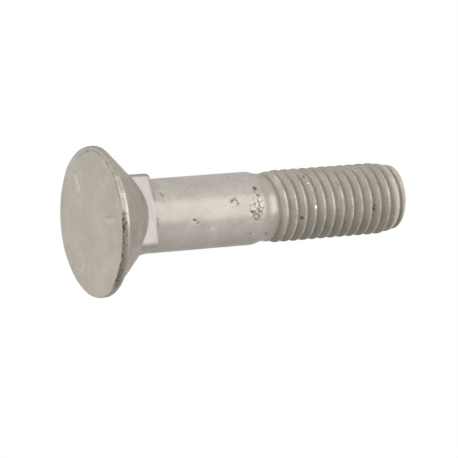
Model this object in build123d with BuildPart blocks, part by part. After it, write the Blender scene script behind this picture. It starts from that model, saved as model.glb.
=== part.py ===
from build123d import *
from math import ceil, radians, tan
import os

# Plow bolt, M12 by 55: one forged steel piece with a flat countersunk head, a short square
# neck, a plain shank and a rolled right-hand thread.
# Millimetres. Z = 0 is the flat face of the head, +Z runs along the axis to the tip, and the
# flats of the square neck face X and Y.

# ---- Head -------------------------------------------------------------------------------
head_diameter = 24.4
rim_height = 1.2  # cylindrical rim, from the face to the countersunk cone
cone_angle = 88.0  # included angle of the countersunk underside
bevel_width = 0.55  # across the face, of the bevel between the face and the rim
bevel_height = 0.35

# ---- Square neck ------------------------------------------------------------------------
neck_allowance = 0.1  # by which the square is wider across its flats than the shank
neck_length = 1.11  # of the square, past the foot of the cone on the shank
neck_corner_radius = 0.7
neck_end_radius = 0.6  # rounding where the square ends
underhead_radius = 0.4  # fillet between the cone and the neck

# ---- Plain shank ------------------------------------------------------------------------
shank_diameter = 12.0
shank_swell = 0.03  # by which its radius is larger inside the square neck
swell_length = 0.4  # taper of that swell, past the end of the square
shank_end = 28.3  # from the face to the end of the full diameter
neck_down_length = 2.1  # taper from the shank to the blank of the thread
neck_down_radius = 1.2  # rounding at both ends of that taper

# ---- Rolled thread ----------------------------------------------------------------------
thread_pitch = 1.75
thread_angle = 60.0
crest_allowance = 0.07  # by which the crests lie lower than the surface of the shank
thread_depth = 1.1  # to the sharp bottom of the V
crest_rise = 0.38  # height of the crests over the bare blank that the thread is rolled on
bare_length = 0.3  # of that blank, before the first trace of the thread
run_out_length = 2.6  # over which the thread comes to its full height
core_allowance = 0.2  # by which the core under the run-out ends deeper than the roots
groove_lead = 1.99  # from the groove's first crossing of +X to the first trace of the thread

# ---- Tip --------------------------------------------------------------------------------
overall_length = 55.5
tip_taper_length = 3.1
tip_drop = 0.58  # by which the edge of the tip lies lower than the crests

# ---- Sizes that follow ------------------------------------------------------------------
head_radius = head_diameter / 2
shank_radius = shank_diameter / 2
swell_radius = shank_radius + shank_swell
cone_end = rim_height + (head_radius - swell_radius) / tan(radians(cone_angle / 2))
neck_width = shank_diameter + neck_allowance
neck_end = cone_end + neck_length
swell_end = neck_end + swell_length
blank_start = shank_end + neck_down_length
crest_radius = shank_radius - crest_allowance
blank_radius = crest_radius - crest_rise
root_height = crest_radius - thread_depth
run_out_start = blank_start + bare_length
run_out_end = run_out_start + run_out_length
groove_start = run_out_start - groove_lead
tip_radius = crest_radius - tip_drop

# ---- Groove of the thread ---------------------------------------------------------------
# One turn of a V. It stands a little over the crests, which are left as bands of the bolt's
# outer surface.
groove_top = crest_radius + thread_depth / 5
top_half_width = (groove_top - root_height) * tan(radians(thread_angle / 2))

with BuildPart() as groove_turn:
    with BuildLine() as helix:
        Helix(thread_pitch, thread_pitch, crest_radius, center=(0, 0, groove_start))
    with BuildSketch(Plane.XZ):
        with BuildLine():
            Polyline(
                (root_height, groove_start),
                (groove_top, groove_start - top_half_width),
                (groove_top, groove_start + top_half_width),
                close=True,
            )
        make_face()
    sweep(path=helix.line, is_frenet=True)

# ---- Threaded end -----------------------------------------------------------------------
# The blank swells from its bare diameter to the crests over the run-out, and the groove is
# cut turn by turn, each turn starting where the last one ended.
turn_count = ceil((overall_length - groove_start) / thread_pitch) + 1

with BuildPart() as threaded_end:
    with BuildSketch(Plane.YZ):
        with BuildLine():
            Polyline(
                (0, run_out_start),
                (blank_radius, run_out_start),
                (crest_radius, run_out_end),
                (crest_radius, overall_length - tip_taper_length),
                (tip_radius, overall_length),
                (0, overall_length),
                close=True,
            )
        make_face()
    revolve(axis=Axis.Z)
    with Locations([(0, 0, turn * thread_pitch) for turn in range(turn_count)]):
        add(groove_turn.part, mode=Mode.SUBTRACT)

# ---- Bolt -------------------------------------------------------------------------------
with BuildPart() as plow_bolt:
    # The square neck, with its own end edges rounded before the shank rises out of it.
    with BuildSketch():
        RectangleRounded(neck_width, neck_width, neck_corner_radius)
    extrude(amount=neck_end)
    fillet(edges().group_by(Axis.Z)[-1], neck_end_radius)

    # Head, shank, neck-down and a core under the run-out. The core makes the groove grow
    # shallower along the run-out, until it vanishes at the bare blank.
    with BuildSketch(Plane.YZ):
        with BuildLine():
            Polyline(
                (0, 0),
                (head_radius - bevel_width, 0),
                (head_radius, bevel_height),
                (head_radius, rim_height),
                (swell_radius, cone_end),
                (swell_radius, neck_end - neck_end_radius),
                (shank_radius, swell_end),
                (shank_radius, shank_end),
                (blank_radius, blank_start),
                (blank_radius, run_out_start),
                (root_height - core_allowance, run_out_end),
                (0, run_out_end),
                close=True,
            )
        make_face()
    revolve(axis=Axis.Z)

    countersink = faces().filter_by(GeomType.CONE).sort_by(SortBy.AREA)[-1]
    neck_foot = countersink.edges().filter_by(
        lambda edge: edge.geom_type not in (GeomType.CIRCLE, GeomType.LINE)
    )
    fillet(neck_foot, underhead_radius)
    circles = edges().filter_by(GeomType.CIRCLE)
    half_bare = bare_length / 2
    neck_down = circles.filter_by_position(Axis.Z, shank_end - half_bare, blank_start + half_bare)
    fillet(neck_down, neck_down_radius)

    add(threaded_end.part)

plow_bolt.part.label = "plow_bolt"
os.makedirs("parts", exist_ok=True)
export_step(plow_bolt.part, "parts/plow_bolt.step")
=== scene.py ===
"""Looks of a forged steel plow bolt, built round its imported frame.

The bolt is one piece of metal, so its visible surface is one closed skin: a pole in the middle
of the head's face, rows of points up the head, the square neck and the shank, a spiral of rows
along the rolled thread, and a pole in the middle of the tip. The skin carries the small faults
of a real forging, such as an uneven rim, a soft corner of the square, dents and pits.

Lengths are in metres, or in millimetres where a name ends in mm. Angles are in degrees from
+X towards +Y.
"""

import logging
import math
from dataclasses import dataclass
from enum import Enum
from typing import Any, Sequence

import bpy
import numpy as np
from mathutils import Matrix, Vector


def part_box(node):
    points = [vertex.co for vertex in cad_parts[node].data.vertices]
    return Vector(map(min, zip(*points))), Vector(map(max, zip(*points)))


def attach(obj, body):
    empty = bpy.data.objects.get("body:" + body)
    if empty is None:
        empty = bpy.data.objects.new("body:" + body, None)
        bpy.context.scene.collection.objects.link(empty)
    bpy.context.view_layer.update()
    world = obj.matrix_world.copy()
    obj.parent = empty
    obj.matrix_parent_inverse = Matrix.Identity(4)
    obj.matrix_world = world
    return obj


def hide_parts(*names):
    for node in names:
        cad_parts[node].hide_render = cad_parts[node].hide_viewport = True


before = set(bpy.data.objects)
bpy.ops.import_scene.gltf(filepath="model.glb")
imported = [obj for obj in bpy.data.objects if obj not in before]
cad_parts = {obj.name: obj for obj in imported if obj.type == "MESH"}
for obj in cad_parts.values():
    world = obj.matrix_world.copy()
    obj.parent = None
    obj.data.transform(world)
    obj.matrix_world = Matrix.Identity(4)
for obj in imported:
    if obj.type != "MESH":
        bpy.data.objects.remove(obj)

log = logging.getLogger("plow_bolt")

Array = np.ndarray
Rgba = tuple[float, float, float, float]
Triple = tuple[float, float, float]
Span = tuple[float, float]
MM = 0.001
NODE = "plow_bolt"


# ---- Small formulas ---------------------------------------------------------------------


def smooth_step(low: float, high: float, value: Array) -> Array:
    """Eased ramp from 0 at low to 1 at high: t squared times (3 - 2 t), with t held to 0..1."""
    t = np.clip((value - low) / (high - low), 0.0, 1.0)
    return t * t * (3.0 - 2.0 * t)


def soft_max(a: Array, b: Array, width: float) -> Array:
    """Larger of a and b, rounded where they meet: half of a + b + root((a - b)^2 + width^2)."""
    return 0.5 * (a + b + np.sqrt((a - b) ** 2 + width**2))


def soft_min(a: Array, b: Array, width: float) -> Array:
    """Smaller of a and b, rounded where they meet."""
    return -soft_max(-a, -b, width)


def turned_from(angles: Array, centre: float) -> Array:
    """Signed turn in degrees from a centre angle, between -180 and 180."""
    return (angles - centre + 180.0) % 360.0 - 180.0


def cylindrical(points: Array) -> tuple[Array, Array, Array]:
    """Angle, distance from the axis and height of each point."""
    x, y, z = points.T
    return np.degrees(np.arctan2(y, x)), np.hypot(x, y), z


@dataclass(frozen=True)
class Swell:
    """A smooth swelling on one side of the bolt, or a hollow where its size is negative."""

    angle: float
    half_width: float
    size: float

    def at(self, angles: Array) -> Array:
        """Size times a bell: e to the minus squared turn over the squared half width."""
        return self.size * np.exp(-((turned_from(angles, self.angle) / self.half_width) ** 2))


def swollen(swells: Sequence[Swell], angles: Array) -> Array:
    """Sum of swellings at each angle."""
    return sum(swell.at(angles) for swell in swells)


@dataclass(frozen=True)
class Waves:
    """Seeded smooth unevenness: cosine waves that run in random directions.

    Their height is given for plain metal, with more added on forged and on rolled metal.
    """

    seed: int
    length: float
    count: int
    plain: float
    forged: float
    rolled: float
    spread: Span = (0.6, 1.8)  # shortest and longest wave, as shares of the length
    gain: float = 0.7  # brings the sum to about -1..1

    def at(self, points: Array) -> Array:
        """Sum of the waves: the mean of cos(k.p + phase), times the root of the count and the gain.

        Args:
            points: Points of (n, 3).

        Returns:
            One value for each point.
        """
        draws = np.random.default_rng(self.seed)
        way = draws.normal(size=(self.count, 3))
        way /= np.linalg.norm(way, axis=1)[:, None]
        steps = 2.0 * math.pi / (self.length * draws.uniform(*self.spread, self.count))
        phases = draws.uniform(0.0, 2.0 * math.pi, self.count)
        total = np.zeros(len(points))
        for vector, phase in zip(way * steps[:, None], phases):
            total += np.cos(points @ vector + phase)
        return total / math.sqrt(self.count) * self.gain


# ---- Sizes of the bolt ------------------------------------------------------------------


@dataclass(frozen=True)
class HeadSizes:
    """Countersunk head, whose flat face lies at height zero.

    The forging ran out past the rim's circle on one side and fell short of it on the other.
    """

    radius: float = 12.15 * MM
    swells: tuple[Swell, ...] = (  # of the rim's radius
        Swell(200.0, 34.0, 0.18 * MM),
        Swell(345.0, 33.0, 0.49 * MM),
        Swell(125.0, 55.0, -0.32 * MM),
        Swell(168.0, 26.0, -0.25 * MM),
        Swell(185.0, 15.0, -0.25 * MM),
        Swell(116.0, 24.0, -0.30 * MM),
        Swell(201.0, 13.0, -0.09 * MM),
        Swell(38.0, 26.0, -0.24 * MM),
    )
    # Ripples of the rim's radius: how many fit round the rim, their lead and their height.
    ripples: tuple[Triple, ...] = ((2.0, 40.0, 0.06 * MM), (5.0, 190.0, 0.035 * MM))
    rim_height: float = 1.15 * MM
    top_swells: tuple[Swell, ...] = (Swell(245.0, 28.0, -0.22 * MM), Swell(345.0, 40.0, 0.12 * MM))
    least_step: float = 0.05 * MM  # by which the cone starts inside the rim at least
    cone_radius: float = 12.24 * MM  # of the cone where the rim ends
    cone_shift: float = 0.14 * MM  # of the cone's middle off the axis, towards cone_side
    cone_side: float = 190.0
    cone_flare: Swell = Swell(342.0, 30.0, 0.16 * MM)
    cone_half_angle: float = 44.0
    ledge_rise: float = 0.12 * MM  # from the rim's top to the ledge where the cone begins
    ledge_share: float = 0.75  # of the step between the rim and the cone, added to that
    ledge_cuts: Span = (0.9 * MM, 1.2 * MM)  # rounding of the ledge, towards the rim and the neck
    edge_crisp: float = 0.22 * MM  # rounding of the face's edge on its crisp side
    edge_worn: float = 1.2 * MM  # the same on its worn side, along the face
    edge_fall: float = 0.75 * MM  # and down the rim
    worn_side: float = 120.0
    worn_span: Span = (-0.5, 0.8)  # cosine of the turn from worn_side, from crisp to worn
    rim_lean: float = 0.03 * MM  # by which the rim draws in towards its top
    rim_cut: float = 0.16 * MM  # rounding between the rim and the cone
    cut_share: float = 0.45  # of the step between the rim and the cone, added to that
    lip: Swell = Swell(250.0, 35.0, 0.30 * MM)  # more of the same rounding
    mark_angle: float = 40.0  # of the first of the struck strokes, and the turn to the next
    mark_turn: float = 120.0
    mark_radius: float = 7.4 * MM  # middle of the strokes
    mark_length: float = 3.4 * MM
    mark_width: float = 0.75 * MM
    mark_soft: float = 0.14 * MM  # half width of the strokes' eased edges
    mark_depth: float = 0.24 * MM


@dataclass(frozen=True)
class NeckSizes:
    """Square neck between the cone and the shank."""

    half_width: float = 6.02 * MM
    end: float = 8.75 * MM
    foot_cut: float = 0.45 * MM  # fillet between the cone and the square
    end_cut: float = 0.42 * MM  # rounding where the square ends
    end_share: float = 0.35  # of the step between the square and the shank, added to that
    least_step: float = 0.01 * MM  # by which the shank lies inside the square at least
    shoulder_slope: float = 0.18 * MM
    shoulder_span: Span = (0.0, 1.5 * MM)  # step between the square and the shank
    shoulder_cut: float = 0.3 * MM  # fillet between the shoulder and the shank
    corner_radii: tuple[float, ...] = (2.7 * MM, 0.7 * MM, 0.6 * MM, 0.9 * MM)


@dataclass(frozen=True)
class ShankSizes:
    """Plain shank and the short taper down to the blank of the thread."""

    radius: float = 6.0 * MM
    end: float = 28.3 * MM
    taper_lead: float = 0.15 * MM  # by which the rounding starts before that end
    taper_length: float = 2.1 * MM
    blank_radius: float = 5.55 * MM


@dataclass(frozen=True)
class ThreadSizes:
    """Rolled right-hand thread and the tapered tip.

    A line along the thread is an offset from the groove's centre, towards the tip, and a half
    width, both along the axis.
    """

    pitch: float = 1.75 * MM
    start: float = 26.96 * MM  # a groove's centre line crosses +X at this height
    crest_radius: float = 5.93 * MM
    depth: float = 0.98 * MM
    root_half: float = 0.08 * MM
    flank_slope: float = 1.0 / math.tan(math.radians(30.0))
    crest_round: float = 0.13 * MM
    root_round: float = 0.09 * MM
    run_out_start: float = 30.7 * MM
    run_out_length: float = 2.6 * MM
    core_drop: float = 0.1 * MM  # by which the core ends below the roots
    core_round: float = 0.03 * MM
    turns: int = 16
    row_places: tuple[float, ...] = (0.05, 0.16, 0.27, 0.348, 0.383, 0.43)  # in half a pitch
    taper_start: float = 52.3 * MM
    taper_round: float = 0.05 * MM
    tip_radius: float = 5.3 * MM
    edge_height: float = 0.18 * MM  # of the rounded edge of the tip
    edge_steps: tuple[Span, ...] = ((0.02 * MM, 0.08 * MM), (0.09 * MM, 0.15 * MM), (0.22 * MM, 0.18 * MM))
    tip_rings: tuple[float, ...] = (0.85, 0.6, 0.35, 0.12)  # on the tip, as shares of its edge
    # Lines where the run-out begins: the first groove and a seam beside it are darkened as painted shade,
    # and the small ridge between them is lightened as a painted highlight
    first_grooves: tuple[Span, ...] = ((0.0, 0.12 * MM), (-0.68 * MM, 0.10 * MM))
    first_ridge: Span = (-0.42 * MM, 0.10 * MM)
    ridge_inset: float = 0.10 * MM
    ridge_half: float = 0.10 * MM

    @property
    def ridge(self) -> Span:
        """Line along the upper edge of the crest, painted lighter and glossier: a painted highlight where
        that edge catches the light.
        """
        return -self.depth / self.flank_slope - self.ridge_inset, self.ridge_half


class Zone(Enum):
    """Zones of the bolt, whose masks are kept as attributes of its mesh."""

    FACE = "zone_face"
    RIM = "zone_rim"
    CONE = "zone_cone"
    NECK = "zone_neck"
    TAPER = "zone_taper"
    THREAD = "zone_thread"
    SHADED_ROOT = "zone_shaded_root"
    CREST = "zone_crest"
    RIDGE_HIGHLIGHT = "zone_ridge_highlight"


@dataclass(frozen=True)
class ZoneSpans:
    """Over what the zones' masks rise from 0 to 1, or fall from 1 to 0."""

    face: Span = (0.03 * MM, 0.22 * MM)  # height, falling
    past_rim: Span = (-0.15 * MM, 0.15 * MM)  # height past the top of the rim
    outside: Span = (0.02 * MM, 0.45 * MM)  # distance outside the square
    neck_end: Span = (-0.3 * MM, 0.1 * MM)  # height past the end of the square, falling
    taper: Span = (-0.5 * MM, 0.9 * MM)  # height past the end of the shank
    thread: Span = (0.7 * MM, 1.5 * MM)  # height past the start of the run-out
    tip: Span = (-0.3 * MM, 0.0)  # height past the tip, falling
    trace: Span = (-0.4 * MM, 0.2 * MM)  # height past the start of the run-out
    trace_end: Span = (1.3 * MM, 1.8 * MM)  # the same, falling
    root: Span = (0.66 * MM, 0.92 * MM)  # depth below the crests
    crest: Span = (0.06 * MM, 0.24 * MM)  # the same, falling


@dataclass(frozen=True)
class Station:
    """A corner of the bolt's outline in the half plane of every column.

    Radius and height are those of the corner. The rounding starts a length before it and ends
    a length after it, with straight_rows rows up to the rounding and bend_rows rows along it.
    """

    radius: Array | float
    height: Array | float
    before: Array | float = 0.0
    after: Array | float = 0.0
    straight_rows: int = 0
    bend_rows: int = 0


# ---- Marks of wear, and glints painted as highlights ------------------------------------


@dataclass(frozen=True)
class Spot:
    """A round mark on the skin: where it is, how wide, how strong to look at, and how deep."""

    angle: float
    height_mm: float
    width_mm: float
    strength: float
    depth_mm: float = 0.0


DENTS = (
    Spot(247.4, 27.5, 0.46, 1.0, 0.10),
    Spot(259.7, 27.4, 0.22, 0.8, 0.05),
    Spot(274.0, 27.2, 0.55, 0.0, -0.03),
    Spot(276.2, 25.9, 0.28, 0.7, 0.06),
    Spot(285.7, 26.2, 0.34, 0.9, 0.08),
    Spot(281.0, 27.2, 0.24, 0.8, 0.05),
    Spot(293.0, 27.6, 0.30, 0.9, 0.07),
    Spot(300.5, 27.0, 0.26, 0.6, 0.05),
    Spot(323.6, 26.4, 0.34, 0.7, 0.05),
    Spot(329.2, 29.7, 0.34, 0.8, 0.05),
    Spot(269.5, 22.9, 0.24, 0.8, 0.05),
    Spot(273.1, 23.5, 0.26, 0.7, 0.05),
    Spot(261.7, 23.2, 0.18, 0.7, 0.03),
    Spot(265.5, 22.7, 0.22, 0.9, 0.04),
    Spot(266.3, 23.6, 0.20, 0.8, 0.03),
    Spot(270.8, 23.9, 0.20, 0.8, 0.03),
    Spot(263.0, 22.4, 0.16, 0.7, 0.03),
    Spot(258.4, 23.4, 0.18, 0.7, 0.03),
    Spot(275.6, 22.7, 0.16, 0.7, 0.03),
    Spot(290.9, 15.6, 0.25, 1.0, 0.05),
    Spot(296.1, 16.3, 0.24, 0.9, 0.05),
    Spot(289.6, 16.5, 0.20, 0.8, 0.04),
    Spot(295.4, 15.3, 0.18, 0.7, 0.03),
    Spot(281.0, 13.2, 0.16, 0.8, 0.03),
    Spot(281.5, 16.9, 0.16, 0.8, 0.03),
    Spot(308.1, 19.2, 0.22, 0.3, 0.03),
    Spot(243.2, 10.5, 0.26, 0.8, 0.05),
    Spot(255.9, 10.6, 0.30, 0.6, 0.04),
    Spot(302.3, 35.85, 0.15, 0.9, 0.03),
    Spot(304.6, 35.80, 0.16, 1.1, 0.05),
    Spot(306.8, 35.75, 0.15, 0.9, 0.03),
    Spot(299.8, 49.4, 0.40, 0.9, 0.05),
    Spot(292.0, 49.6, 0.26, 0.7, 0.03),
    Spot(255.1, 50.1, 0.28, 0.7, 0.03),
    Spot(240.3, 50.0, 0.24, 0.6, 0.03),
    Spot(252.6, 42.9, 0.24, 0.8, 0.03),
    Spot(229.0, 37.4, 0.30, 0.8, 0.03),
    Spot(70.0, 46.2, 0.32, 0.9, 0.04),
    Spot(160.0, 40.8, 0.28, 0.8, 0.03),
)

PATCHES = (  # of pitted, flaked coating
    Spot(282.0, 27.1, 1.75, 1.0),
    Spot(267.0, 23.2, 1.20, 0.86),
    Spot(247.0, 27.4, 0.75, 0.8),
    Spot(262.0, 27.6, 0.80, 0.7),
    Spot(297.0, 27.0, 0.80, 0.8),
    Spot(323.0, 26.4, 0.90, 0.8),
    Spot(331.0, 29.6, 0.60, 0.8),
    Spot(293.5, 15.9, 0.80, 0.8),
    Spot(249.0, 10.6, 0.95, 0.75),
    Spot(308.0, 19.2, 0.90, 0.55),
    Spot(325.0, 15.5, 0.60, 0.8),
    Spot(238.0, 33.5, 0.90, 0.5),
    Spot(250.0, 38.5, 1.10, 0.6),
    Spot(296.0, 49.5, 1.20, 0.5),
    Spot(150.0, 20.0, 1.30, 0.8),
    Spot(95.0, 25.5, 1.20, 0.9),
    Spot(60.0, 14.0, 0.90, 0.7),
    Spot(20.0, 23.0, 1.10, 0.8),
    Spot(110.0, 43.0, 1.20, 0.6),
)

GLINTS = (  # of bare metal on the crests, coloured near-white as painted highlights
    Spot(275.0, 38.15, 0.20, 1.0),
    Spot(285.9, 38.15, 0.32, 1.2),
    Spot(232.0, 37.9, 0.22, 0.9),
    Spot(245.0, 37.5, 0.20, 0.8),
    Spot(280.0, 32.9, 0.15, 0.8),
    Spot(283.0, 34.7, 0.15, 0.9),
    Spot(275.5, 36.4, 0.14, 0.7),
    Spot(289.0, 43.5, 0.16, 0.9),
    Spot(278.0, 45.1, 0.14, 0.7),
    Spot(80.0, 39.7, 0.24, 0.9),
    Spot(140.0, 45.2, 0.22, 0.8),
    Spot(20.0, 36.0, 0.22, 0.8),
)


def spot_sum(points: Array, spots: Sequence[Spot], sizes: Sequence[float]) -> Array:
    """Sum of a bell at each spot: e to the minus squared distance over the squared width.

    Args:
        points: Points of the skin.
        spots: Places and widths of the bells.
        sizes: Height of each bell.

    Returns:
        The sum at each point.
    """
    angle, radius, height = cylindrical(points)
    total = np.zeros(len(points))
    for spot, size in zip(spots, sizes):
        aside = np.radians(turned_from(angle, spot.angle)) * radius
        away = (aside**2 + (height - spot.height_mm * MM) ** 2) / (spot.width_mm * MM) ** 2
        total += size * np.exp(-away)
    return total


def spot_mask(points: Array, spots: Sequence[Spot]) -> Array:
    """How strongly the spots show at each point, from 0 to 1."""
    return np.clip(spot_sum(points, spots, [spot.strength for spot in spots]), 0.0, 1.0)


@dataclass(frozen=True)
class Band:
    """A stretch of the rim with eased edges.

    It runs from a start to an end angle, and from a low to a high place, counted from the
    face's edge up the rim. Outside them it falls to 0 over a turn and a length.
    """

    strength: float
    start: float
    end: float
    ease: float
    low_mm: float
    high_mm: float
    ease_mm: float


# ---- Meshes -----------------------------------------------------------------------------


def vertex_normals(points: Array, triangles: Array) -> Array:
    """Normal at each point: the sum of the cross products of its triangles' sides, at length 1.

    Args:
        points: Points of (n, 3).
        triangles: Triangles of (m, 3).

    Returns:
        Normals of (n, 3).
    """
    a, b, c = (points[triangles[:, k]] for k in range(3))
    crossed = np.cross(b - a, c - a)
    total = np.zeros_like(points)
    for k in range(3):
        np.add.at(total, triangles[:, k], crossed)
    return total / np.linalg.norm(total, axis=1)[:, None]


def new_mesh_object(name: str, points: Array, triangles: Array) -> bpy.types.Object:
    """Mesh object at the origin from whole arrays.

    Args:
        name: Name of the object.
        points: Points of (n, 3).
        triangles: Triangles of (m, 3).

    Returns:
        The object, linked to the scene and shaded smooth.
    """
    mesh = bpy.data.meshes.new(name)
    mesh.vertices.add(len(points))
    mesh.vertices.foreach_set("co", points.astype(np.float32).ravel())
    mesh.loops.add(triangles.size)
    mesh.loops.foreach_set("vertex_index", triangles.astype(np.int32).ravel())
    mesh.polygons.add(len(triangles))
    mesh.polygons.foreach_set("loop_start", np.arange(0, triangles.size, 3, dtype=np.int32))
    mesh.update(calc_edges=True)
    mesh.validate()
    mesh.shade_smooth()
    made = bpy.data.objects.new(name, mesh)
    bpy.context.scene.collection.objects.link(made)
    return made


def add_attribute(made: bpy.types.Object, name: str, values: Array) -> None:
    """Keeps one number for each point of a mesh under a name."""
    attribute = made.data.attributes.new(name, "FLOAT", "POINT")
    attribute.data.foreach_set("value", values.astype(np.float32))


# ---- Shader maths -----------------------------------------------------------------------


class Wire:
    """One output of a node, for use in expressions. Operators on it add Math nodes."""

    def __init__(self, graph: "Graph", socket: bpy.types.NodeSocket) -> None:
        """Keeps the graph and the output socket."""
        self.graph = graph
        self.socket = socket

    def _maths(self, operation: str, *values: Any) -> "Wire":
        """Adds a Math node with the values as its inputs."""
        return self.graph.node("ShaderNodeMath", {"operation": operation}, dict(enumerate(values)))

    def __add__(self, other: Any) -> "Wire":
        """Sum."""
        return self._maths("ADD", self, other)

    def __radd__(self, other: Any) -> "Wire":
        """Sum with a number on the left."""
        return self._maths("ADD", other, self)

    def __sub__(self, other: Any) -> "Wire":
        """Difference."""
        return self._maths("SUBTRACT", self, other)

    def __rsub__(self, other: Any) -> "Wire":
        """Difference from a number on the left."""
        return self._maths("SUBTRACT", other, self)

    def __mul__(self, other: Any) -> "Wire":
        """Product."""
        return self._maths("MULTIPLY", self, other)

    def __rmul__(self, other: Any) -> "Wire":
        """Product with a number on the left."""
        return self._maths("MULTIPLY", other, self)

    def larger(self, other: Any) -> "Wire":
        """Larger of two values."""
        return self._maths("MAXIMUM", self, other)

    def eased(self, low: float, high: float) -> "Wire":
        """Eased ramp from 0 at low to 1 at high.

        Args:
            low: Value that gives 0.
            high: Value that gives 1.

        Returns:
            The ramp's output.
        """
        settings = {"interpolation_type": "SMOOTHSTEP", "clamp": True}
        limits = {"Value": self, "From Min": low, "From Max": high, "To Min": 0.0, "To Max": 1.0}
        return self.graph.node("ShaderNodeMapRange", settings, limits)


class Graph:
    """Node tree of a material or of the world, built by calls."""

    def __init__(self, owner: bpy.types.Material | bpy.types.World) -> None:
        """Gives the owner an empty node tree.

        Args:
            owner: Material or world.
        """
        owner.use_nodes = True
        self.tree = owner.node_tree
        self.tree.nodes.clear()

    def node(
        self,
        kind: str,
        settings: dict[str, Any] | None = None,
        values: dict[int | str, Any] | None = None,
        output: int | str | None = 0,
    ) -> Wire | None:
        """Adds a node.

        Args:
            kind: Type of the node.
            settings: Its properties, set first.
            values: Numbers, colours or wires for its inputs, by name, identifier or index.
            output: Output to give back, by name, identifier or index, or None for no output.

        Returns:
            The output, ready for an expression.
        """
        made = self.tree.nodes.new(kind)
        for name, value in (settings or {}).items():
            setattr(made, name, value)
        for name, value in (values or {}).items():
            socket = self._find(made.inputs, name)
            if isinstance(value, Wire):
                self.tree.links.new(value.socket, socket)
            else:
                socket.default_value = value
        return None if output is None else Wire(self, self._find(made.outputs, output))

    @staticmethod
    def _find(sockets: Any, name: int | str) -> bpy.types.NodeSocket:
        """Finds a socket.

        Args:
            sockets: Inputs or outputs of a node.
            name: Index, identifier or name of the socket.

        Returns:
            The socket.
        """
        if isinstance(name, int):
            return sockets[name]
        for socket in sockets:
            if socket.identifier == name:
                return socket
        return sockets[name]

    def mix(self, share: Any, first: Any, second: Any) -> Wire:
        """Colour between two colours: the first where share is 0, the second where it is 1."""
        values = {"Factor_Float": share, "A_Color": first, "B_Color": second}
        return self.node("ShaderNodeMix", {"data_type": "RGBA"}, values, "Result_Color")

    def attribute(self, name: str) -> Wire:
        """Value of a mesh attribute."""
        return self.node("ShaderNodeAttribute", {"attribute_name": name}, output="Fac")


@dataclass(frozen=True)
class Texture:
    """Noise from 0 to 1: the size of its lumps, its number of finer layers and their strength."""

    size_mm: float
    detail: float
    roughness: float = 0.5

    def on(self, place: Wire) -> Wire:
        """Adds the noise.

        Args:
            place: Where it is read.

        Returns:
            The noise's value.
        """
        values = {"Vector": place, "Scale": 1.0 / (self.size_mm * MM)}
        values |= {"Detail": self.detail, "Roughness": self.roughness}
        return place.graph.node("ShaderNodeTexNoise", None, values, "Fac")


# ---- Finishes ---------------------------------------------------------------------------


@dataclass(frozen=True)
class Finish:
    """Colour, metal share and roughness of one zone."""

    colour: Triple
    metallic: float
    roughness: float

    @property
    def rgba(self) -> Rgba:
        """Colour with full opacity."""
        return (*self.colour, 1.0)


SHANK = Finish((0.430, 0.396, 0.356), 0.22, 0.31)
ZONE_FINISHES = {
    Zone.FACE: Finish((0.546, 0.501, 0.446), 0.30, 0.55),
    Zone.RIM: Finish((0.355, 0.322, 0.283), 0.35, 0.45),
    # Cone darker than the shank: painted shade for the darker surroundings that it reflects
    Zone.CONE: Finish((0.338, 0.307, 0.268), 0.45, 0.45),
    Zone.NECK: Finish((0.303, 0.280, 0.260), 0.55, 0.34),
    Zone.TAPER: Finish((0.366, 0.334, 0.297), 0.36, 0.28),
    Zone.THREAD: Finish((0.462, 0.425, 0.360), 0.02, 0.52),
    Zone.CREST: Finish((0.352, 0.324, 0.274), 0.08, 0.42),
    # Lighter and glossier than the thread: a painted highlight along the crest's upper edge
    Zone.RIDGE_HIGHLIGHT: Finish((0.570, 0.540, 0.485), 0.82, 0.27),
}
# Bright metal of scuffs, and the painted highlights on the square's corner and on the struck strokes
BRIGHT_METAL_AND_HIGHLIGHT = (0.60, 0.565, 0.515, 1.0)
# Near-white of the glints: a painted highlight
GLINT_HIGHLIGHT_WHITE = (0.93, 0.90, 0.85, 1.0)
# Also the colour of the painted shadow at the square's step
BROWN_STAIN_AND_SHADOW = (0.16, 0.13, 0.105, 1.0)
DARK_STAIN = (0.050, 0.042, 0.034, 1.0)
GREY_TINT = (0.70, 0.67, 0.62, 1.0)
WHITE = (1.0, 1.0, 1.0, 1.0)


@dataclass(frozen=True)
class Mark:
    """A mark with a ragged edge: how far a noise shifts its mask, the ramp that then cuts the
    mask, and how much of the mark's colour shows."""

    reach: float
    low: float
    high: float
    strength: float = 1.0

    def cut(self, mask: Wire, noise: Wire) -> Wire:
        """Mask plus the noise's swing round one half times the reach, eased by the ramp."""
        return (mask + (noise - 0.5) * self.reach).eased(self.low, self.high)


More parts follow.
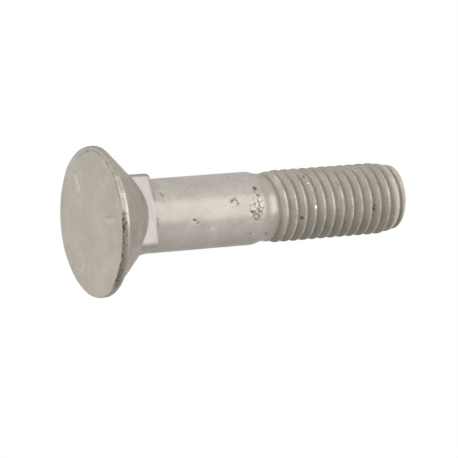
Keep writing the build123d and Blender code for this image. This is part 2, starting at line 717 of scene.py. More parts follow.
@dataclass(frozen=True)
class ZincSteel:
    """Worn zinc-grey steel: one material with a finish for each zone of the bolt."""

    cloud: Texture = Texture(6.0, 3.0)
    mottle: Texture = Texture(1.3, 4.0, 0.6)
    grain: Texture = Texture(0.30, 3.0, 0.6)
    breaks: Texture = Texture(0.7, 4.0, 0.65)
    veins: Texture = Texture(0.9, 2.0)
    specks: Texture = Texture(0.55, 1.0)
    smudges: Texture = Texture(2.6, 4.0, 0.6)
    crack: Mark = Mark(0.9, 0.40, 0.68, 0.62)
    flake: Mark = Mark(1.6, 0.45, 0.75, 0.18)
    speck: Mark = Mark(0.35, 0.70, 0.80, 0.30)
    smudge: Mark = Mark(0.25, 0.50, 0.72, 0.14)
    stain: Mark = Mark(1.7, 0.42, 0.72, 0.80)
    grime: Mark = Mark(1.9, 0.44, 0.76, 0.70)
    pit: Mark = Mark(0.9, 0.35, 0.75, 0.78)
    rubbed_and_highlight: Mark = Mark(1.6, 0.40, 0.80, 0.80)
    glint: Mark = Mark(0.8, 0.45, 0.80)
    rubbed_grain: float = 0.45  # share of the grain, beside the mottling, in the ragged edge of the scuffed metal and the corner highlight
    # share of bright metal on the struck strokes: a painted highlight where they catch the light
    struck_highlight: float = 0.80
    least_dusk: float = 0.55  # share of the brown tone and painted step shadow that shows, and what the breaks add to it
    broken_dusk: float = 0.9
    vein_sharpness: float = 90.0
    ridge_breaks: Span = (0.40, 0.62)  # of the mottling, where the painted highlight on the ridge shows
    ridge_strength: float = 0.9
    plain_shade: float = 0.475  # brightness of the finishes, and what the textures add to it
    cloud_shade: float = 0.44
    mottle_shade: float = 0.40
    grain_shade: float = 0.24
    sand_shade: float = 0.45  # of the grain again, on the thread alone
    root_painted_shade: float = 0.34  # painted shade, taken off the brightness in the roots of the thread
    mottle_rough: float = 0.25  # added to the roughness by the mottling, dirt and roots
    dirt_rough: float = 0.25
    root_rough: float = 0.15
    glint_smooth: float = 0.30  # taken off it in a glint
    dirt_dull: float = 0.85  # share of the metal that dirt hides
    glint_metal: float = 0.8
    cloud_relief: float = 0.5  # heights of the bump, as shares of a pit's depth
    mottle_relief: float = 0.7
    grain_relief: float = 0.3
    crack_relief: float = 0.5
    flake_relief: float = 0.4
    bump: float = 0.45
    pit_depth: float = 0.05 * MM
    specular: float = 0.06

    def build(self) -> bpy.types.Material:
        """Joins the finishes, the mottling, the stains and the fine grain into one shader.

        A crack is where a noise lies close to one half. Pits, stains and grime are masks from
        the mesh whose edge a noise makes ragged.

        Returns:
            The material.
        """
        material = bpy.data.materials.new("zinc_steel_worn")
        g = Graph(material)
        place = g.node("ShaderNodeTexCoord", output="Object")
        cloud, mottle, grain = self.cloud.on(place), self.mottle.on(place), self.grain.on(place)
        broken = self.breaks.on(place)
        patch = g.attribute("patch")
        off_vein = self.veins.on(place) - 0.5
        vein = (1.0 - off_vein * off_vein * self.vein_sharpness).larger(0.0)
        crack = self.crack.cut(vein * patch, grain)
        flake = self.flake.cut(patch, mottle)
        speck = self.speck.cut(self.specks.on(place), cloud)
        smudge = self.smudge.cut(self.smudges.on(place), grain)
        stain = self.stain.cut(g.attribute("stain"), broken)
        grime = self.grime.cut(g.attribute("grime"), broken)
        pit = self.pit.cut(g.attribute("pit"), grain)
        ragged = mottle * (1.0 - self.rubbed_grain) + grain * self.rubbed_grain
        rubbed_and_highlight = self.rubbed_and_highlight.cut(g.attribute("rubbed_and_highlight"), ragged)
        glint = self.glint.cut(g.attribute("glint"), grain)
        root = g.attribute(Zone.SHADED_ROOT.value)
        masks = {zone: g.attribute(zone.value) for zone in ZONE_FINISHES}
        # Painted highlight on the crest's edge, broken up by the mottling
        masks[Zone.RIDGE_HIGHLIGHT] = masks[Zone.RIDGE_HIGHLIGHT] * mottle.eased(*self.ridge_breaks) * self.ridge_strength

        colour: Any = SHANK.rgba
        for zone, mask in masks.items():
            colour = g.mix(mask, colour, ZONE_FINISHES[zone].rgba)
        sand = (grain - 0.5) * masks[Zone.THREAD] * self.sand_shade
        shade = self.plain_shade + self.cloud_shade * cloud + self.mottle_shade * mottle
        shade = shade + self.grain_shade * grain + sand + flake * self.flake.strength
        # Painted shade: darker in the roots of the thread and along the first grooves
        shade = shade * (1.0 - root * self.root_painted_shade)
        scaled = {0: colour, "Scale": shade}
        colour = g.node("ShaderNodeVectorMath", {"operation": "SCALE"}, scaled, "Vector")
        for mask, strength, layer in (
            # Scuffed metal, and the painted highlight on the square's corner
            (rubbed_and_highlight, self.rubbed_and_highlight.strength, BRIGHT_METAL_AND_HIGHLIGHT),
            # Glints: bare metal, painted near-white as highlights
            (glint, self.glint.strength, GLINT_HIGHLIGHT_WHITE),
            # Struck strokes: a painted highlight
            (g.attribute("mark"), self.struck_highlight, BRIGHT_METAL_AND_HIGHLIGHT),
            (smudge, self.smudge.strength, BROWN_STAIN_AND_SHADOW),
            (speck, self.speck.strength, BROWN_STAIN_AND_SHADOW),
            # Brown tone along the rim, and the painted shadow line at the square's step
            (g.attribute("dusk_and_step_shadow"), broken * self.broken_dusk + self.least_dusk, BROWN_STAIN_AND_SHADOW),
            (grime, self.grime.strength, BROWN_STAIN_AND_SHADOW),
            (crack, self.crack.strength, BROWN_STAIN_AND_SHADOW),
            (stain, self.stain.strength, DARK_STAIN),
            (pit, self.pit.strength, DARK_STAIN),
        ):
            colour = g.mix(mask * strength, colour, layer)

        dirt = stain.larger(grime).larger(pit).larger(crack)
        roughness = self._blend("roughness", masks) + (mottle - 0.5) * self.mottle_rough
        roughness = roughness + dirt * self.dirt_rough + root * self.root_rough - glint * self.glint_smooth
        metallic = self._blend("metallic", masks) * (1.0 - dirt * self.dirt_dull)
        metallic = metallic + glint * self.glint_metal
        height = cloud * self.cloud_relief + mottle * self.mottle_relief + grain * self.grain_relief
        height = height - pit - crack * self.crack_relief + flake * self.flake_relief
        relief = {"Strength": self.bump, "Distance": self.pit_depth, "Height": height}
        surface = {
            "Base Color": colour,
            "Metallic": metallic,
            "Roughness": roughness,
            "Normal": g.node("ShaderNodeBump", None, relief, "Normal"),
            "Specular IOR Level": self.specular,
            "Specular Tint": GREY_TINT,
        }
        shader = g.node("ShaderNodeBsdfPrincipled", None, surface, "BSDF")
        g.node("ShaderNodeOutputMaterial", None, {"Surface": shader}, None)
        return material

    def _blend(self, what: str, masks: dict[Zone, Wire]) -> Wire:
        """Blends one number of the finishes by the zones' masks: each step adds the mask times
        the difference between the zone's number and what is there.

        Args:
            what: Name of the number.
            masks: Mask of each zone.

        Returns:
            The number at each point of the surface.
        """
        value: Any = getattr(SHANK, what)
        for zone, mask in masks.items():
            value = value + mask * (getattr(ZONE_FINISHES[zone], what) - value)
        return value


# ---- Bolt -------------------------------------------------------------------------------


@dataclass(frozen=True)
class Bolt:
    """The whole bolt: its sizes, its skin, its wear and its finish."""

    length: float
    head: HeadSizes = HeadSizes()
    neck: NeckSizes = NeckSizes()
    shank: ShankSizes = ShankSizes()
    thread: ThreadSizes = ThreadSizes()
    spans: ZoneSpans = ZoneSpans()
    waves: tuple[Waves, ...] = (
        Waves(11, 7.0 * MM, 24, 0.006 * MM, 0.030 * MM, 0.008 * MM),
        Waves(12, 1.6 * MM, 40, 0.002 * MM, 0.008 * MM, 0.007 * MM),
    )
    face_unevenness: float = 0.6  # of the face, as a share of the rim's and the cone's
    columns: int = 256
    face_rows: int = 14
    face_border: float = 3.0 * MM  # ring of closer rows along the face's edge
    shank_rows: int = 58
    tip_rows: int = 5
    longest_cut: float = 0.48  # of a corner's rounding, as a share of the line beside it

    @property
    def angles(self) -> Array:
        """Angle of each column of points."""
        return np.arange(self.columns) * 360.0 / self.columns

    # -- Outlines round the axis

    def rim_radius(self) -> Array:
        """Radius of the rim for each column: a circle with swellings, hollows and ripples."""
        ripples = (size * np.cos(np.radians(n * self.angles + lead)) for n, lead, size in self.head.ripples)
        return self.head.radius + swollen(self.head.swells, self.angles) + sum(ripples)

    def rim_top(self) -> Array:
        """Height of the edge between the rim and the cone for each column."""
        return self.head.rim_height + swollen(self.head.top_swells, self.angles)

    def cone_start(self) -> Array:
        """Radius of the cone at the rim's height for each column: a flared circle off the axis."""
        shift = self.head.cone_shift * np.cos(np.radians(self.angles - self.head.cone_side))
        return self.head.cone_radius + shift + self.head.cone_flare.at(self.angles)

    def wear(self) -> Array:
        """Wear of the face's edge for each column, from 0 on its crisp side to 1 on its worn one."""
        return smooth_step(*self.head.worn_span, np.cos(np.radians(self.angles - self.head.worn_side)))

    def edge_cut(self) -> Array:
        """Length of the rounding of the face's edge along the face, for each column."""
        return self.head.edge_crisp + (self.head.edge_worn - self.head.edge_crisp) * self.wear()

    def neck_radius(self) -> Array:
        """Distance from the axis to the square for each column.

        On a flat it is the half width over the cosine of the turn from the flat's middle. On a
        corner it is the ray's far crossing of the corner's circle.

        Returns:
            One distance for each column.
        """
        half = self.neck.half_width
        quadrant = (self.angles // 90.0).astype(int)
        rounding = np.array(self.neck.corner_radii)[quadrant]
        turn = np.radians(np.abs(turned_from(self.angles, 0.0) % 90.0 - 45.0))
        flat = half / np.cos(math.pi / 4.0 - turn)
        reach = (half - rounding) * math.sqrt(2.0)
        under = np.maximum(rounding**2 - (reach * np.sin(turn)) ** 2, 0.0)
        corner = reach * np.cos(turn) + np.sqrt(under)
        on_flat = np.tan(math.pi / 4.0 - turn) * half <= half - rounding
        return np.where(on_flat, flat, corner)

    # -- Rows of the head, the neck and the shank

    def bends(self, stations: Sequence[Station]) -> Array:
        """Rows along a broken line in each column's half plane, with every corner rounded.

        A corner is replaced by the parabola from a cut before it to a cut after it: (1-t)
        squared times the first point, plus 2t(1-t) times the corner, plus t squared times the
        last point. Between two corners the rows lie on the straight line.

        Args:
            stations: Corners of the broken line, with its two ends.

        Returns:
            Array of (row, 2, column) with the radius and the height.
        """
        points = [np.stack(np.broadcast_arrays(s.radius, s.height, self.angles)[:2]) for s in stations]
        rows: list[Array] = []
        start = points[0]
        for index in range(1, len(stations)):
            station, corner = stations[index], points[index]
            back = points[index - 1] - corner
            length = np.linalg.norm(back, axis=0)
            arrive = corner + back / length * np.minimum(station.before, self.longest_cut * length)
            for step in range(1, station.straight_rows + 1):
                rows.append(start + (arrive - start) * step / station.straight_rows)
            if index == len(stations) - 1:
                break
            ahead = points[index + 1] - corner
            reach = np.linalg.norm(ahead, axis=0)
            leave = corner + ahead / reach * np.minimum(station.after, self.longest_cut * reach)
            for step in range(1, station.bend_rows + 1):
                t = step / station.bend_rows
                rows.append((1 - t) ** 2 * arrive + 2 * t * (1 - t) * corner + t**2 * leave)
            start = leave
        return np.stack(rows)

    def lower_rows(self) -> Array:
        """Rows from the first ring on the face to the ring where the thread's spiral starts.

        Returns:
            Array of (row, 2, column) with the radius and the height.
        """
        head, neck, shank = self.head, self.neck, self.shank
        rim, top, square, wear = self.rim_radius(), self.rim_top(), self.neck_radius(), self.wear()
        slope = math.tan(math.radians(head.cone_half_angle))
        cone = np.minimum(self.cone_start(), rim - head.least_step)
        ledge = top + head.ledge_rise + head.ledge_share * (rim - cone)
        foot = head.rim_height + (cone - square) / slope
        body = np.minimum(shank.radius, square - neck.least_step)
        shoulder = neck.end + neck.shoulder_slope * smooth_step(*neck.shoulder_span, square - body)
        fall = head.edge_crisp + (head.edge_fall - head.edge_crisp) * wear
        on_cone = cone - (ledge - head.rim_height) * slope
        lip = head.rim_cut + head.cut_share * (rim - cone) + head.lip.at(self.angles)
        before_end = neck.end_cut + neck.end_share * (square - body)
        cut = neck.shoulder_cut
        # The last two numbers of a station are its rows up to its rounding and along it.
        stations = [
            Station(0.0, 0.0),
            Station(rim - self.face_border, 0.0, straight_rows=self.face_rows),
            Station(rim, 0.0, self.edge_cut(), fall, self.face_rows, 8),
            Station(rim - head.rim_lean, top, lip, lip, 2, 4),
            Station(on_cone, ledge, *head.ledge_cuts, 2, 5),
            Station(square, foot, neck.foot_cut, neck.foot_cut, 14, 5),
            Station(square, neck.end, before_end, neck.end_cut, 6, 6),
            Station(body, shoulder + cut, cut, cut, 3, 4),
            Station(shank.radius, self.thread.start, straight_rows=self.shank_rows),
        ]
        return self.bends(stations)

    # -- Rows of the thread and the tip

    def end_radius(self, heights: Array) -> Array:
        """Radius of the taper, the run-out, the thread and the tip.

        The groove is a V with a narrow flat root. The surface is the smaller of the groove and
        the crests, and the larger of that and a core. The core falls from the blank to under
        the roots with the square root of the way along the run-out.

        Args:
            heights: Heights of (row, column).

        Returns:
            Radius at each height.
        """
        shank, thread = self.shank, self.thread
        fall = smooth_step(shank.end - shank.taper_lead, shank.end + shank.taper_length, heights)
        body = shank.radius + (shank.blank_radius - shank.radius) * fall
        along = np.clip((heights - thread.run_out_start) / thread.run_out_length, 0.0, 1.0)
        crest = body + (thread.crest_radius - shank.blank_radius) * along
        narrowing = (thread.crest_radius - thread.tip_radius) / (self.length - thread.taper_start)
        tapered = thread.crest_radius - narrowing * (heights - thread.taper_start)
        crest = soft_min(crest, tapered, thread.taper_round)
        root = thread.crest_radius - thread.depth
        core = body + (root - thread.core_drop - shank.blank_radius) * np.sqrt(along)
        turn = (heights - thread.start) / thread.pitch - self.angles / 360.0
        aside = np.abs(turn - np.round(turn)) * thread.pitch
        groove = root + np.maximum(aside - thread.root_half, 0.0) * thread.flank_slope
        groove = soft_max(groove, root * np.ones_like(groove), thread.root_round)
        cut = soft_min(crest, groove, thread.crest_round)
        return np.where(heights < thread.run_out_start, body, soft_max(core, cut, thread.core_round))

    def spiral_rows(self) -> tuple[Array, int]:
        """Heights of the spiral's rows, which stand closer at the edges of the root and the crest.

        A place of w pitches along the spiral lies at start + pitch (w - 1 + c), where c is the
        share of a turn. A wedge of rows, start + pitch w c, opens it from a level ring, and a
        second one closes it on a level ring.

        Returns:
            Heights of (row, column), and the number of rows in one pitch.
        """
        thread, turns = self.thread, self.thread.turns
        half = np.array(thread.row_places)
        phases = np.concatenate([[0.0], half, 1.0 - half[::-1]])
        share = self.angles / 360.0
        places = (np.arange(turns + 1)[:, None] + phases[None, :]).ravel()
        places = np.append(places, turns + 1.0)[:, None]
        opening = thread.start + thread.pitch * places * share
        running = thread.start + thread.pitch * (places - 1.0 + share)
        closing = thread.start + thread.pitch * (turns - 1.0 + share + (places - turns) * (1.0 - share))
        heights = np.where(places <= 1.0, opening, np.where(places <= turns, running, closing))
        return heights, len(phases)

    def upper_rows(self, height: float) -> Array:
        """Rows from the level ring at the end of the spiral to the last ring on the tip.

        Args:
            height: Height of the level ring.

        Returns:
            Array of (row, 2, column) with the radius and the height.
        """
        thread = self.thread
        steps = np.arange(1, self.tip_rows + 1) / self.tip_rows
        level = height + (self.length - thread.edge_height - height) * steps
        heights = level[:, None] * np.ones((1, self.columns))
        sides = np.stack([self.end_radius(heights), heights], axis=1)
        edge, start = sides[-1]
        rows = [np.stack([edge - inwards, start + rise]) for inwards, rise in thread.edge_steps]
        flat, top = edge - thread.edge_steps[-1][0], np.full(self.columns, self.length)
        rows += [np.stack([flat * share, top]) for share in thread.tip_rings]
        return np.concatenate([sides, np.stack(rows)])

    # -- Skin

    def skin(self) -> tuple[Array, Array, Array]:
        """Points and triangles of the closed skin.

        A row's last column joins its own first one, and along the spiral the first column of
        the row one pitch further, so that the rows follow the thread without a seam.

        Returns:
            Points of (n, 3), triangles of (m, 3) and the column of each point.
        """
        count = self.columns
        lower = self.lower_rows()
        heights, per_pitch = self.spiral_rows()
        spiral = np.stack([self.end_radius(heights), heights], axis=1)
        rows = np.concatenate([lower[:-1], spiral, self.upper_rows(float(heights[-1, 0]))])
        cosine, sine = np.cos(np.radians(self.angles)), np.sin(np.radians(self.angles))
        points = np.stack([rows[:, 0] * cosine, rows[:, 0] * sine, rows[:, 1]], axis=-1)
        ids = np.arange(len(rows) * count).reshape(len(rows), count)
        ids = np.concatenate([ids, ids[:, :1]], axis=1)
        first = len(lower) - 1
        last = first + len(spiral) - 1
        ids[first : first + per_pitch + 1, 0] = ids[first, 0]
        ids[first : last + 1, count] = ids[np.minimum(np.arange(first, last + 1) + per_pitch, last), 0]
        bottom, top = len(rows) * count, len(rows) * count + 1
        low_a, low_b = ids[:-1, :-1].ravel(), ids[:-1, 1:].ravel()
        high_a, high_b = ids[1:, :-1].ravel(), ids[1:, 1:].ravel()
        around = np.arange(count)
        corners = [
            (low_a, low_b, high_b),
            (low_a, high_b, high_a),
            (np.full(count, bottom), ids[0, around + 1], ids[0, around]),
            (np.full(count, top), ids[-1, around], ids[-1, around + 1]),
        ]
        triangles = np.concatenate([np.stack(trio, axis=1) for trio in corners])
        a, b, c = triangles.T
        triangles = triangles[(a != b) & (b != c) & (c != a)]
        ends = np.array([[0.0, 0.0, 0.0], [0.0, 0.0, self.length]])
        everything = np.concatenate([points.reshape(-1, 3), ends])
        used, renumbered = np.unique(triangles, return_inverse=True)
        return everything[used], renumbered.reshape(-1, 3), used % count

    # -- Zones, wear and unevenness

    def zones(self, points: Array, columns: Array) -> dict[Zone, Array]:
        """How far each point belongs to each zone of the bolt, from 0 to 1.

        Args:
            points: Points of the skin.
            columns: Column of each point.

        Returns:
            One mask for each zone.
        """
        _, radius, height = cylindrical(points)
        spans, thread = self.spans, self.thread
        face = 1.0 - smooth_step(*spans.face, height)
        past_rim = smooth_step(*spans.past_rim, height - self.rim_top()[columns])
        outside = smooth_step(*spans.outside, radius - self.neck_radius()[columns])
        on_neck = 1.0 - smooth_step(*spans.neck_end, height - self.neck.end)
        past_start = height - thread.run_out_start
        rolled = smooth_step(*spans.thread, past_start)
        below = thread.crest_radius - radius
        side = rolled * (1.0 - smooth_step(*spans.tip, height - self.length))
        trace = smooth_step(*spans.trace, past_start) * (1.0 - smooth_step(*spans.trace_end, past_start))
        grooves = sum(self.along_groove(points, line) for line in thread.first_grooves)
        raised = self.along_groove(points, thread.first_ridge)
        return {
            Zone.FACE: face,
            Zone.RIM: (1.0 - face) * (1.0 - past_rim),
            Zone.CONE: past_rim * outside,
            Zone.NECK: past_rim * (1.0 - outside) * on_neck,
            Zone.TAPER: smooth_step(*spans.taper, height - self.shank.end) * (1.0 - rolled),
            Zone.THREAD: rolled,
            # Roots and first grooves, to be darkened as painted shade
            Zone.SHADED_ROOT: np.clip(side * smooth_step(*spans.root, below) + trace * grooves, 0.0, 1.0),
            Zone.RIDGE_HIGHLIGHT: side * self.along_groove(points, thread.ridge) + trace * raised,
            Zone.CREST: side * (1.0 - smooth_step(*spans.crest, below)),
        }

    def along_groove(self, points: Array, line: Span) -> Array:
        """Thin line that runs along the groove of the thread: e to the minus squared distance
        over the squared half width, with the distance taken along the axis.

        Args:
            points: Points of the skin.
            line: Offset of the line past the groove's centre, and its half width.

        Returns:
            Strength of the line at each point, from 0 to 1.
        """
        angle, _, height = cylindrical(points)
        offset, half_width = line
        turn = (height - self.thread.start) / self.thread.pitch - (angle % 360.0) / 360.0
        aside = (turn - np.round(turn)) * self.thread.pitch
        return np.exp(-(((aside - offset) / half_width) ** 2))

    def struck_mark(self, points: Array) -> Array:
        """Three plain radial strokes struck into the face.

        A stroke is a bar with eased edges: one ramp across it and one along the radius.

        Args:
            points: Points of the skin.

        Returns:
            Share of the strokes' depth at each point, from 0 to 1.
        """
        head = self.head
        angle, radius, height = cylindrical(points)
        half_turn = head.mark_turn / 2
        turn = (angle - head.mark_angle + half_turn) % head.mark_turn - half_turn
        past_side = np.radians(np.abs(turn)) * radius - head.mark_width / 2
        past_end = np.abs(radius - head.mark_radius) - head.mark_length / 2
        across = 1.0 - smooth_step(-head.mark_soft, head.mark_soft, past_side)
        lengthwise = 1.0 - smooth_step(-head.mark_soft, head.mark_soft, past_end)
        return across * lengthwise * (height < self.spans.face[1])

    def worn(self, points: Array, normals: Array, zones: dict[Zone, Array]) -> Array:
        """Skin with its unevenness, dents and struck mark.

        Each point moves along its normal by the waves, whose height depends on the zone, and
        against it by the dents. The face never passes height zero.

        Args:
            points: Points of the smooth skin.
            normals: Normal at each point.
            zones: Masks of the zones.

        Returns:
            Points of the worn skin.
        """
        forged = zones[Zone.CONE] + zones[Zone.RIM] + self.face_unevenness * zones[Zone.FACE]
        lift = -self.head.mark_depth * self.struck_mark(points)
        lift -= spot_sum(points, DENTS, [dent.depth_mm * MM for dent in DENTS])
        for wave in self.waves:
            height = wave.plain + wave.forged * forged + wave.rolled * zones[Zone.THREAD]
            lift += wave.at(points) * height
        moved = points + normals * lift[:, None]
        moved[:, 2] = np.clip(moved[:, 2], 0.0, self.length)
        return moved

    def build(self) -> None:
        """Makes the bolt's skin, gives it its masks and its finish, and puts it on its body."""
        points, triangles, columns = self.skin()
        zones = self.zones(points, columns)
        worn = self.worn(points, vertex_normals(points, triangles), zones)
        made = new_mesh_object("bolt_skin", worn, triangles)
        rim = RimWear(self, points, columns)
        masks = {zone.value: mask for zone, mask in zones.items()}
        masks["pit"] = spot_mask(points, DENTS)
        masks["patch"] = spot_mask(points, PATCHES)
        masks["glint"] = spot_mask(points, GLINTS)
        masks["mark"] = self.struck_mark(points)
        masks |= {"dusk_and_step_shadow": rim.dusk_and_step_shadow(), "stain": rim.stain(), "grime": rim.grime(), "rubbed_and_highlight": rim.rubbed_and_highlight()}
        for name, mask in masks.items():
            add_attribute(made, name, mask)
        made.data.materials.append(ZincSteel().build())
        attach(made, "root")
        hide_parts(NODE)
        log.info("bolt_skin: %d points, %d triangles", len(points), len(triangles))


class RimWear:
    """Stains, scuffed bright spots and dirt along the rim of the head, a painted shadow at the step of the
    square and a painted highlight on one of its corners, as shares from 0 to 1.
    """

    DUSK = (  # along the rim, where the face's edge starts to turn, and on the cone
        Band(0.72, 284.0, 330.0, 15.0, 0.02, 0.65, 0.40),
        Band(0.34, 178.0, 282.0, 12.0, 0.0, 0.08, 0.24),
        Band(0.16, 292.0, 335.0, 12.0, 1.3, 2.4, 1.0),
    )
    GRIME = (  # the same three, and specks round the upper end of the rim
        Band(0.60, 280.0, 335.0, 16.0, -0.10, 0.70, 0.60),
        Band(0.46, 185.0, 278.0, 12.0, -0.05, 0.12, 0.28),
        Band(0.36, 296.0, 335.0, 10.0, 1.4, 2.6, 1.2),
        Band(0.36, 190.0, 240.0, 15.0, -0.2, 1.3, 0.5),
    )
    RUBBED = (  # the whole rim, then its upper part only
        Band(0.56, 249.0, 262.0, 8.0, 0.30, 1.10, 0.30),
        Band(0.62, 260.0, 284.0, 12.0, 0.95, 1.20, 0.25),
    )
    RUBBED_CORNER_HIGHLIGHT = (0.48, 313.0, 320.0, 3.0)  # of the square, scuffed and painted lighter as a highlight along its rounding: strength, angles and ease
    BLOT_BAND = Band(0.60, 0.0, 360.0, 1.0, 0.05, 0.55, 0.45)  # all round the rim
    BLOTS = (
        Swell(279.0, 7.0, 1.0),
        Swell(290.0, 7.0, 0.72),
        Swell(306.0, 9.0, 0.66),
        Swell(329.0, 9.0, 0.66),
    )
    STEP_SHADOW_LINE = (0.50, 0.40 * MM, 0.15 * MM)  # painted shadow: a dark line past the square, where it steps out from the shank: strength, height and half width
    SHOULDER = (0.08 * MM, 0.30 * MM)  # step between the square and the shank
    FACE_BORDER = 0.22 * MM  # of the face's turned edge that counts as rim
    INNER_RADIUS, TOP = 9.0 * MM, 4.0 * MM  # limits of the rim's marks
    SQUARE_START, SQUARE_END = 5.5 * MM, 0.2 * MM  # heights over the face and past the square

    def __init__(self, bolt: Bolt, points: Array, columns: Array) -> None:
        """Works out the place of each point round the rim.

        Args:
            bolt: Sizes of the bolt.
            points: Points of the skin.
            columns: Column of each point.
        """
        angle, radius, height = cylindrical(points)
        self.angle = angle % 360.0
        self.past_neck = height - bolt.neck.end
        edge = (bolt.rim_radius() - bolt.edge_cut())[columns]
        self.up_rim = np.minimum(radius - edge, self.FACE_BORDER) + height
        past_body = (bolt.neck_radius() - bolt.shank.radius)[columns]
        self.shoulder = smooth_step(*self.SHOULDER, past_body)
        self.on_rim = (radius > self.INNER_RADIUS) & (height < self.TOP)
        self.on_square = (height > self.SQUARE_START) & (self.past_neck < self.SQUARE_END)

    @staticmethod
    def between(start: float, end: float, ease: float, value: Array) -> Array:
        """1 from a start to an end, eased to 0 over a length outside them."""
        return smooth_step(start - ease, start, value) * (1.0 - smooth_step(end, end + ease, value))

    def across(self, band: Band) -> Array:
        """Strength of a band at each point by its place up the rim alone."""
        limits = (band.low_mm * MM, band.high_mm * MM, band.ease_mm * MM)
        return band.strength * self.between(*limits, self.up_rim) * self.on_rim

    def strongest(self, bands: Sequence[Band], *others: Array) -> Array:
        """Largest of the bands and of other masks at each point."""
        found = [self.between(b.start, b.end, b.ease, self.angle) * self.across(b) for b in bands]
        return np.max([*found, *others], axis=0)

    def dusk_and_step_shadow(self) -> Array:
        """Even brown tone in bands along the rim, and a painted shadow: a dark line at the foot of the
        square's shoulders.

        Returns:
            The tone's mask.
        """
        strength, place, half_width = self.STEP_SHADOW_LINE
        foot = np.exp(-(((self.past_neck - place) / half_width) ** 2))
        return self.strongest(self.DUSK, strength * foot * self.shoulder)

    def stain(self) -> Array:
        """Dark stain: a row of blots along the lower half of the rim."""
        return np.clip(swollen(self.BLOTS, self.angle), 0.0, 1.0) * self.across(self.BLOT_BAND)

    def grime(self) -> Array:
        """Ragged brown dirt over the even tone."""
        return self.strongest(self.GRIME)

    def rubbed_and_highlight(self) -> Array:
        """Bright scuffed metal on stretches of the rim, and one corner of the square that is scuffed metal
        and a painted highlight.
        """
        strength, *limits = self.RUBBED_CORNER_HIGHLIGHT
        return self.strongest(self.RUBBED, strength * self.between(*limits, self.angle) * self.on_square)


# ---- Studio -----------------------------------------------------------------------------


@dataclass(frozen=True)
class Viewpoint:
    """Where the camera stands, the point that it aims at, its roll and its lens."""

    station: Triple = (85.59 * MM, -511.45 * MM, -246.74 * MM)
    aim: Triple = (3.08 * MM, 0.50 * MM, 24.85 * MM)
    roll: float = -85.276
    lens: float = 282.5
    sensor: float = 36.0
    nearest: float = 0.01

    def build(self) -> None:
        """Adds the camera: it looks along the line to the aim, and its upward direction is
        level-up turned by the roll about that line."""
        data = bpy.data.cameras.new("camera")
        data.lens = self.lens
        data.sensor_width = self.sensor
        data.clip_start = self.nearest
        made = bpy.data.objects.new("camera", data)
        ahead = (Vector(self.aim) - Vector(self.station)).normalized()
        level_up = (Vector((0, 0, 1)) - ahead.z * ahead).normalized()
        turn = math.radians(self.roll)
        up = math.cos(turn) * level_up + math.sin(turn) * ahead.cross(level_up)
        place = Matrix((ahead.cross(up), up, -ahead)).transposed().to_4x4()
        place.translation = self.station
        made.matrix_world = place
        bpy.context.scene.collection.objects.link(made)
        bpy.context.scene.camera = made


@dataclass(frozen=True)
class SoftBox:
    """A square soft light: its direction from the bolt, distance, size and power."""

    name: str
    direction: Triple
    distance: float
    size: float
    power: float

    def build(self, centre: Vector) -> None:
        """Adds the lamp, facing the bolt's centre.

        Args:
            centre: Centre of the bolt.
        """
        data = bpy.data.lights.new(self.name, "AREA")
        data.shape = "SQUARE"
        data.size = self.size
        data.energy = self.power
        made = bpy.data.objects.new(self.name, data)
        way = Vector(self.direction).normalized()
        made.location = centre + way * self.distance
        made.rotation_euler = (-way).to_track_quat("-Z", "Y").to_euler()
        bpy.context.scene.collection.objects.link(made)


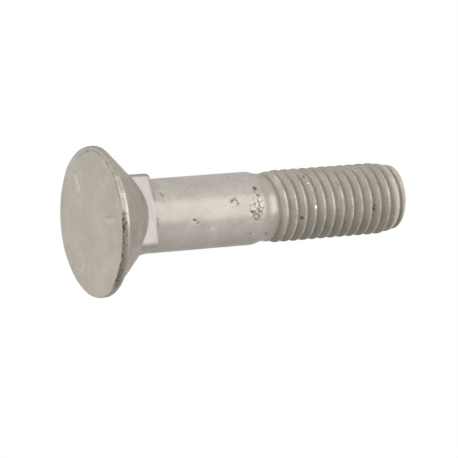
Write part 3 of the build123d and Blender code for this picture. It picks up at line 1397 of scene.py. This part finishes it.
@dataclass(frozen=True)
class Studio:
    """Pale floor, white surround, soft lights and the camera."""

    surround: float = 0.42  # level of the soft light from all sides
    floor_reach: float = 1.5
    floor_height: float = -0.02 * MM
    cloth: Rgba = (0.80, 0.80, 0.80, 1.0)
    near_glow: Rgba = (0.28, 0.28, 0.28, 1.0)  # added for the camera alone, by the bolt
    far_glow: Rgba = (0.74, 0.74, 0.74, 1.0)  # and away from it, where the floor is white
    glow_span: Span = (0.08, 0.60)
    lights: tuple[SoftBox, ...] = (
        SoftBox("key_light", (0.00, -0.90, 0.43), 0.7, 0.75, 4.3),
        SoftBox("spark_light", (0.00, -0.90, 0.43), 0.7, 0.40, 0.65),
        SoftBox("low_light", (-0.42, -0.32, -0.85), 0.8, 0.6, 3.0),
    )

    def build_world(self) -> None:
        """White behind the bolt and in its reflections, and a plain level of soft light."""
        world = bpy.data.worlds.new("surround")
        bpy.context.scene.world = world
        graph = Graph(world)
        rays = ("Is Camera Ray", "Is Glossy Ray", "Is Transmission Ray")
        camera, glossy, through = (graph.node("ShaderNodeLightPath", output=ray) for ray in rays)
        strength = camera.larger(glossy).larger(through) * (1.0 - self.surround) + self.surround
        background = graph.node("ShaderNodeBackground", None, {"Color": WHITE, "Strength": strength})
        graph.node("ShaderNodeOutputWorld", None, {"Surface": background}, None)

    def build_floor(self) -> None:
        """Pale floor with the bolt's shadow, which shows from above only, so that a camera below
        it sees the bolt. Its colour is a diffuse one plus a glow for the camera alone, which
        rises away from the bolt to white."""
        plan = np.array([[-1, -1], [1, -1], [1, 1], [-1, 1]]) * self.floor_reach
        corners = np.column_stack([plan, np.full(4, self.floor_height)])
        made = new_mesh_object("floor", corners, np.array([[0, 1, 2], [0, 2, 3]]))
        material = bpy.data.materials.new("pale_floor")
        graph = Graph(material)
        cloth = graph.node("ShaderNodeBsdfDiffuse", None, {"Color": self.cloth}, "BSDF")
        place = graph.node("ShaderNodeTexCoord", output="Object")
        away = graph.node("ShaderNodeVectorMath", {"operation": "LENGTH"}, {0: place}, "Value")
        glow = graph.mix(away.eased(*self.glow_span), self.near_glow, self.far_glow)
        seen = graph.node("ShaderNodeLightPath", output="Is Camera Ray")
        paper = graph.node("ShaderNodeEmission", None, {"Color": glow, "Strength": seen}, "Emission")
        pale = graph.node("ShaderNodeAddShader", None, {0: cloth, 1: paper}, "Shader")
        clear = graph.node("ShaderNodeBsdfTransparent", None, None, "BSDF")
        below = graph.node("ShaderNodeNewGeometry", output="Backfacing")
        shader = graph.node("ShaderNodeMixShader", None, {0: below, 1: pale, 2: clear}, "Shader")
        graph.node("ShaderNodeOutputMaterial", None, {"Surface": shader}, None)
        made.data.materials.append(material)
        made.visible_diffuse = False
        made.visible_glossy = False
        made.visible_transmission = False
        made.visible_shadow = False

    def build(self, centre: Vector) -> None:
        """Adds everything round the bolt.

        Args:
            centre: Centre of the bolt.
        """
        self.build_world()
        self.build_floor()
        for light in self.lights:
            light.build(centre)
        Viewpoint().build()
        bpy.context.scene.view_settings.view_transform = "Standard"


def main() -> None:
    """Builds the bolt, which reports its skin, and its studio round the imported part's box."""
    logging.basicConfig(level=logging.INFO, format="%(name)s: %(message)s")
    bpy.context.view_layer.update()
    low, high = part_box(NODE)
    Bolt(length=high.z).build()
    Studio().build((low + high) / 2)


if __name__ == "__main__":
    main()
